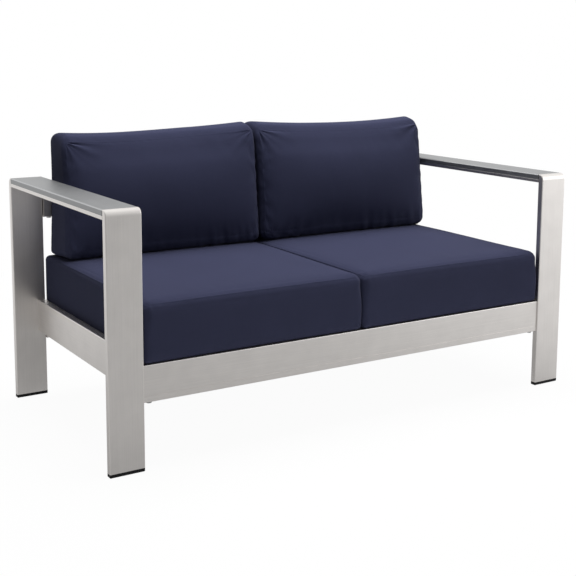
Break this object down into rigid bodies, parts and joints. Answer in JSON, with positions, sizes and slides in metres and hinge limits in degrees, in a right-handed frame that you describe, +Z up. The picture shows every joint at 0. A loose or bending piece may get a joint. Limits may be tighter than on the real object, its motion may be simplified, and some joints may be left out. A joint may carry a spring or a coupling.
{
  "type": "patio loveseat",
  "caption": "Outdoor loveseat: brushed aluminium frame with flat arms, slatted deck, box seat cushions and loose back cushions.",
  "frame": {"origin": "on the floor under the middle of the loveseat", "axes": "+X to the viewer's right along the width, +Y to the rear, +Z up"},
  "size_m": [1.45, 0.7, 0.7748],
  "materials": {
    "brushed_aluminium": "brushed, satin",
    "arm_panel_finish": "brushed grey, satin",
    "foot_plastic": "matt black",
    "steel": "satin",
    "cushion_fabric": "navy plain-weave outdoor fabric",
    "foam": "open-cell foam",
    "zip": "matt"
  },
  "bodies": {
    "frame": {"arm_bar_left": "brushed_aluminium", "arm_bar_right": "brushed_aluminium", "arm_panel_left": "arm_panel_finish", "arm_panel_right": "arm_panel_finish", "arm_screws": "steel", "back_rail": "brushed_aluminium", "back_rail_tongue_left": "brushed_aluminium", "back_rail_tongue_right": "brushed_aluminium", "back_slat_1": "brushed_aluminium", "back_slat_2": "brushed_aluminium", "back_slat_3": "brushed_aluminium", "back_slat_4": "brushed_aluminium", "foot_cap_front_left": "foot_plastic", "foot_cap_front_right": "foot_plastic", "foot_cap_rear_left": "foot_plastic", "foot_cap_rear_right": "foot_plastic", "front_leg_left": "brushed_aluminium", "front_leg_right": "brushed_aluminium", "front_rail": "brushed_aluminium", "front_rail_tongue_left": "brushed_aluminium", "front_rail_tongue_right": "brushed_aluminium", "ledge_rivets": "brushed_aluminium", "rail_bolts": "steel", "rail_nuts": "steel", "rear_leg_left": "brushed_aluminium", "rear_leg_right": "brushed_aluminium", "rear_rail": "brushed_aluminium", "rear_rail_tongue_left": "brushed_aluminium", "rear_rail_tongue_right": "brushed_aluminium", "seat_slat_1": "brushed_aluminium", "seat_slat_2": "brushed_aluminium", "seat_slat_3": "brushed_aluminium", "seat_slat_4": "brushed_aluminium", "seat_slat_5": "brushed_aluminium", "seat_slat_6": "brushed_aluminium", "seat_slat_7": "brushed_aluminium", "seat_slat_8": "brushed_aluminium", "seat_slat_9": "brushed_aluminium", "side_rail_left": "brushed_aluminium", "side_rail_right": "brushed_aluminium", "slat_ledge_front": "brushed_aluminium", "slat_ledge_rear": "brushed_aluminium", "slat_screws": "steel"},
    "seat_left": {"seat_cover_left": "cushion_fabric", "seat_foam_left": "foam", "seat_zip_left": "zip"},
    "seat_right": {"seat_cover_right": "cushion_fabric", "seat_foam_right": "foam", "seat_zip_right": "zip"},
    "back_left": {"back_cover_left": "cushion_fabric", "back_foam_left": "foam", "back_zip_left": "zip"},
    "back_right": {"back_cover_right": "cushion_fabric", "back_foam_right": "foam", "back_zip_right": "zip"}
  },
  "joints": [
    {"name": "seat_left_lift", "type": "slide", "parent": "frame", "child": "seat_left", "axis": [0, 0, 1], "range_m": [0, 0.1]},
    {"name": "back_left_lift", "type": "slide", "parent": "seat_left", "child": "back_left", "axis": [0, 0, 1], "range_m": [0, 0.25]},
    {"name": "seat_right_lift", "type": "slide", "parent": "frame", "child": "seat_right", "axis": [0, 0, 1], "range_m": [0, 0.1]},
    {"name": "back_right_lift", "type": "slide", "parent": "seat_right", "child": "back_right", "axis": [0, 0, 1], "range_m": [0, 0.25]}
  ]
}
